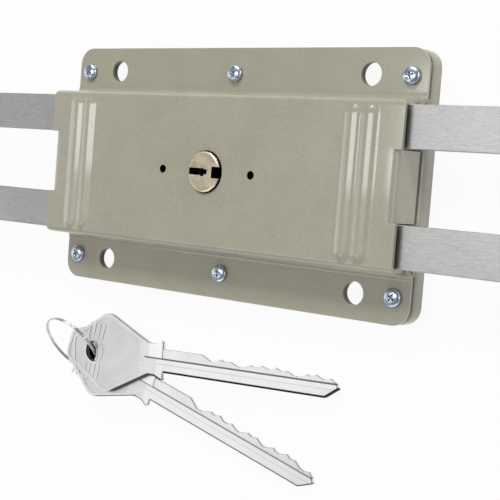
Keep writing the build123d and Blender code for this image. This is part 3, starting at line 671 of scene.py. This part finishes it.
def pressed_cover():
    """The raised box on its flange, with its ribs, tongues and holes."""
    build = bmesh.new()
    cover_grid(build)
    loose = [v for v in build.verts if not v.link_faces]
    bmesh.ops.delete(build, geom=loose, context="VERTS")
    bmesh.ops.recalc_face_normals(build, faces=build.faces[:])
    middle = min(build.faces, key=lambda face: face.calc_center_median().length)
    if middle.normal.z < 0:
        bmesh.ops.reverse_faces(build, faces=build.faces[:])
    holes = case_holes() + [(side * PEEP_X, 0.0, PEEP_R) for side in (-1, 1)] + [(0.0, 0.0, FRONT_HOLE_R)]
    return pressed_sheet("pressed_cover", build, holes, COVER_EDGE, 3)


def rounded_rectangle(half_x, half_y, corner, count=10):
    """The outline of a rectangle round the middle, as its four corner arcs."""
    points = []
    for sx, sy, start in ((1, 1, 0), (-1, 1, 90), (-1, -1, 180), (1, -1, 270)):
        centre = (sx * (half_x - corner), sy * (half_y - corner))
        points += arc_points(centre, corner, start, start + 90, count)
    return points


def back_pan():
    """The folded pan, which lies against the cover's inner face."""
    build = bmesh.new()
    shoulder = -SHEET - PAN_BEND
    levels = [(0.0, REAR), (0.0, REAR + PAN_RIM), (0.0, shoulder)]
    for reach, rise in arc_points((0.0, 0.0), PAN_BEND, 0, 90, 8)[1:]:
        levels.append((PAN_BEND - reach, shoulder + rise))
    rings = []
    for inset, z in levels:
        outline = rounded_rectangle(PLATE_X - inset, PLATE_Y - inset, PLATE_CORNER - inset)
        rings.append([build.verts.new((x, y, z)) for x, y in outline])
    count = len(rings[0])
    for low, high in zip(rings, rings[1:]):
        for k in range(count):
            n = (k + 1) % count
            build.faces.new((low[k], low[n], high[n], high[k]))
    build.faces.new(rings[-1])
    holes = case_holes() + four_holes(PILLAR_X, PILLAR_Y, PILLAR_R)
    holes += four_holes(SPIGOT_X, SPIGOT_Y, SPIGOT_R)
    holes += [(side * PEEP_X, 0.0, CYLINDER_SCREW_R) for side in (-1, 1)] + [(0.0, 0.0, HOUSING_R)]
    return pressed_sheet("back_pan", build, holes, PAN_EDGE)


def lathe(build, outline, count=48):
    """Turn a half section round Z. The first and last points lie on the axis."""
    bottom = build.verts.new((0.0, 0.0, outline[0][1]))
    crown = build.verts.new((0.0, 0.0, outline[-1][1]))
    turns = [2 * pi * k / count for k in range(count)]
    rings = []
    for radius, z in outline[1:-1]:
        rings.append([build.verts.new((radius * cos(a), radius * sin(a), z)) for a in turns])
    for k in range(count):
        n = (k + 1) % count
        build.faces.new((bottom, rings[0][n], rings[0][k]))
        for low, high in zip(rings, rings[1:]):
            build.faces.new((low[k], low[n], high[n], high[k]))
        build.faces.new((rings[-1][k], rings[-1][n], crown))


def recess_cutter():
    """A cross of four wings that narrow downward."""
    build = bmesh.new()
    for turn in range(4):
        spin = Matrix.Rotation(turn * pi / 2, 4, "Z")
        points = []
        for half, reach, z in (WING_TOP, WING_FOOT):
            points += [(0, -half, z), (reach, -half, z), (reach, half, z), (0, half, z)]
        corner = [build.verts.new(spin @ Vector(p)) for p in points]
        for face in ((0, 1, 2, 3), (7, 6, 5, 4), (0, 4, 5, 1), (1, 5, 6, 2), (2, 6, 7, 3), (3, 7, 4, 0)):
            build.faces.new([corner[i] for i in face])
    bmesh.ops.recalc_face_normals(build, faces=build.faces[:])
    return mesh_object("recess", build)


def screw_head():
    """A pan head with its cross recess, on a stub of its shank."""
    build = bmesh.new()
    side, shoulder = HEAD_SIDE
    outline = [(0.0, -STUB), (STUB_R, -STUB), (STUB_R, 0.0), (HEAD_R * HEAD_FOOT, 0.0),
               (HEAD_R, HEAD_H * HEAD_WIDEST), (HEAD_R * side, HEAD_H * shoulder)]
    for turn in range(15, 90, 10):
        a = radians(turn)
        outline.append((HEAD_R * (HEAD_FLAT + (side - HEAD_FLAT) * cos(a) ** DOME),
                        HEAD_H * (shoulder + (1.0 - shoulder) * sin(a) ** DOME)))
    outline.append((0.0, HEAD_H))
    lathe(build, outline)
    obj = mesh_object("screw_head", build)
    cut_away(obj, recess_cutter(), use_self=True)
    return round_edges(obj, SCREW_EDGE, angle=48.0)


def cover_screw_set():
    """All six screws as one piece, each with its own turn."""
    master = screw_head()
    build = bmesh.new()
    for (x, y), turn in zip(SCREW_PLACES, SCREW_TURNS):
        copy = master.data.copy()
        copy.transform(Matrix.Translation((x * MM, y * MM, 0.0)) @ Matrix.Rotation(radians(turn), 4, "Z"))
        build.from_mesh(copy)
        bpy.data.meshes.remove(copy)
    bpy.data.objects.remove(master)
    mesh = bpy.data.meshes.new("cover_screw_heads")
    build.to_mesh(mesh)
    build.free()
    for face in mesh.polygons:
        face.use_smooth = True
    mesh.set_sharp_from_angle(angle=radians(38))
    return placed("cover_screw_heads", mesh)


def softened(node, width):
    """A copy of a CAD piece with its sharp edges rounded."""
    build = bmesh.new()
    build.from_mesh(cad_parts[node].data)
    bmesh.ops.remove_doubles(build, verts=build.verts[:], dist=NEAR * MM)
    bmesh.ops.dissolve_limit(build, angle_limit=radians(1.0), verts=build.verts[:], edges=build.edges[:],
                             delimit={"NORMAL"})
    mesh = bpy.data.meshes.new(node + "_finished")
    build.to_mesh(mesh)
    build.free()
    return round_edges(placed(node + "_finished", mesh), width)


def split_ring():
    """Two turns of wire that lie side by side, with one crossing and two ends."""
    low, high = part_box("key_ring")
    centre = (low + high) / 2
    radius, wire = RING_R * MM, RING_WIRE * MM
    curve = bpy.data.curves.new("split_ring", "CURVE")
    curve.dimensions = "3D"
    curve.bevel_depth = wire
    curve.bevel_resolution = 4
    curve.use_fill_caps = True
    steps = 150
    spline = curve.splines.new("POLY")
    spline.points.add(steps)
    spin = Matrix.Rotation(radians(RING_HEADING), 4, "Z") @ Matrix.Rotation(radians(RING_LEAN), 4, "X")
    for k in range(steps + 1):
        share = k / steps
        angle = RING_START + (4 * pi - RING_SHORT) * share
        crossed = min(1.0, max(0.0, (share - CROSS_FROM) / CROSS_SHARE))
        shift = (crossed - 0.5) * 2 * wire * TURN_GAP
        point = spin @ Vector((radius * cos(angle), radius * sin(angle), shift))
        spline.points[k].co = (*(centre + point), 1.0)
    return placed("split_ring", curve)


paint = enamel("case_enamel", (0.395, 0.378, 0.292), (0.355, 0.34, 0.262))
screw_zinc = plated("bright_zinc", (0.6, 0.68, 0.78), (0.42, 0.49, 0.58), 0.17)
bolt_steel = brushed("bolt_steel", (0.51, 0.52, 0.51), (0.36, 0.36, 0.36))
# A dark plated steel that paints shade onto the cylinder's screws, which lie in the case
shaded_screw = plated("shaded_screw", (0.1, 0.1, 0.11), (0.06, 0.06, 0.07), 0.4)
grey_zinc = plated("grey_zinc", (0.6, 0.61, 0.63), (0.45, 0.46, 0.48), 0.34)
rivet_steel = plated("rivet_steel", (0.6, 0.6, 0.61), (0.45, 0.45, 0.46), 0.3)
pinion_steel = plated("pinion_steel", (0.22, 0.22, 0.23), (0.14, 0.14, 0.15), 0.5)
spring_steel = plated("spring_steel", (0.2, 0.2, 0.22), (0.12, 0.12, 0.13), 0.35)
housing_brass = turned_brass("housing_brass", (0.78, 0.70, 0.5), (0.62, 0.54, 0.37))
pin_brass = turned_brass("pin_brass", (0.78, 0.62, 0.34), (0.6, 0.47, 0.24))
black_plastic = moulded("black_plastic", (0.02, 0.02, 0.02), (0.035, 0.035, 0.035))
# The two keys get different amounts of painted shade in the groove and along the lower edge
front_key_metal = key_steel("front_key_nickel", key_frame(KEY_THICK + KEY_GAP, KEY_SPREAD / 2),
                            groove_dark=0.85, edge_width=1.2, edge_hold=1.0, head_edge_width=1.4)
rear_key_metal = key_steel("rear_key_nickel", key_frame(0.0, -KEY_SPREAD / 2, REAR_SHIFT),
                           groove_dark=0.55, edge_width=0.75, edge_hold=0.7, head_edge_width=0.6)
plug_brass = plug_face("plug_brass", (0.66, 0.59, 0.44), (0.44, 0.38, 0.27))
ring_metal = plated("ring_plate", (0.72, 0.72, 0.73), (0.5, 0.5, 0.52), 0.16)

finish_with(pressed_cover(), paint, "case", "front_cover")
finish_with(back_pan(), paint, "case", "back_plate")
finish_with(cover_screw_set(), screw_zinc, "case", "cover_screws")
for node in ("upper_left_bar", "lower_left_bar", "upper_right_bar", "lower_right_bar"):
    body = "left_bolts" if "left" in node else "right_bolts"
    finish_with(softened(node, BAR_EDGE), bolt_steel, body, node)
finish_with(softened("front_key", KEY_EDGE), front_key_metal, "key_set", "front_key")
finish_with(softened("rear_key", KEY_EDGE), rear_key_metal, "second_key", "rear_key")
finish_with(softened("cylinder_plug", PLUG_EDGE), plug_brass, "turning_plug",
            "cylinder_plug")
finish_with(split_ring(), ring_metal, "key_set", "key_ring")

# The pieces that keep their CAD shape
CARRIED = {
    "cylinder_housing": housing_brass, "key_pins": pin_brass, "driver_pins": pin_brass,
    "pin_cover_strip": pin_brass, "pin_springs": spring_steel, "plug_clip": spring_steel,
    "pinion_clip": spring_steel, "cylinder_screws": shaded_screw, "rack_pillars": rivet_steel,
    "left_bar_rivets": rivet_steel, "right_bar_rivets": rivet_steel, "left_yoke": grey_zinc,
    "right_yoke": grey_zinc, "right_bar_spacers": grey_zinc, "drive_pinion": pinion_steel,
    "left_bar_guide": black_plastic, "right_bar_guide": black_plastic,
}
for node, material in CARRIED.items():
    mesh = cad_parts[node].data
    mesh.materials.clear()
    mesh.materials.append(material)


def seen_white(name, colour, share):
    """A finish that the camera and shiny pieces see as white, by share, over a dull colour."""
    f = Finish(name)
    f.surface(base_color=colour, roughness=0.9)
    seen = f.add("LightPath", output="Is Camera Ray")
    for ray in ("Is Glossy Ray", "Is Transmission Ray"):
        seen = seen.at_least(f.add("LightPath", output=ray))
    x, y, z = f.axes()
    seen = seen * far_from(x, y).step_mm(UNDER_SLOT, UNDER_SLOT + 2.0)
    glow = f.add("Emission", inputs={"Color": grey(1.0)})
    both = f.add("MixShader", inputs={0: seen * (share + f.noise(30.0) * 0.01),
                                      1: Value(f, f.shader.outputs[0]), 2: glow})
    f.put(f.out.inputs["Surface"], both)
    return f


def ground():
    """The flat floor that the lock and the keys lie on."""
    build = bmesh.new()
    bmesh.ops.create_grid(build, x_segments=1, y_segments=1, size=ROOM,
                          matrix=Matrix.Translation((0.0, 0.0, REAR - FLOOR_DROP)))
    obj = mesh_object("ground", build)
    obj.data.materials.append(seen_white("white_ground", grey(0.86), 0.93).material)


def backdrop():
    """A round wall about the ground. Other surfaces get the world's plain light from it."""
    build = bmesh.new()
    bmesh.ops.create_cone(build, cap_ends=False, segments=96, radius1=WALL_R, radius2=WALL_R,
                          depth=WALL, matrix=Matrix.Translation((0.0, 0.0, REAR + WALL / 2)))
    obj = mesh_object("backdrop", build)
    f = seen_white("white_backdrop", grey(0.0), 0.98)
    obj.data.materials.append(f.surface(emission_color=grey(1.0), emission_strength=WORLD))


def softbox(name, place, target, size, power):
    """A rectangular lamp that looks at its target."""
    data = bpy.data.lights.new(name, "AREA")
    data.shape = "RECTANGLE"
    data.size, data.size_y = size
    data.energy = power
    lamp = placed(name, data)
    lamp.location = place
    lamp.rotation_euler = (Vector(target) - Vector(place)).to_track_quat("-Z", "Y").to_euler()


ground()
backdrop()
for lamp in LAMPS:
    softbox(*lamp)

world = bpy.data.worlds.new("studio")
world.use_nodes = True
light = world.node_tree.nodes["Background"].inputs
light["Color"].default_value = (1.0, 1.0, 1.0, 1.0)
light["Strength"].default_value = WORLD
bpy.context.scene.world = world

view = bpy.data.cameras.new("view")
view.lens = LENS
view.sensor_width = 36.0
view.clip_start, view.clip_end = 0.01, 100.0
camera = placed("view", view)
camera.matrix_world = SIGHT
bpy.context.scene.camera = camera
bpy.context.scene.view_settings.view_transform = "Standard"
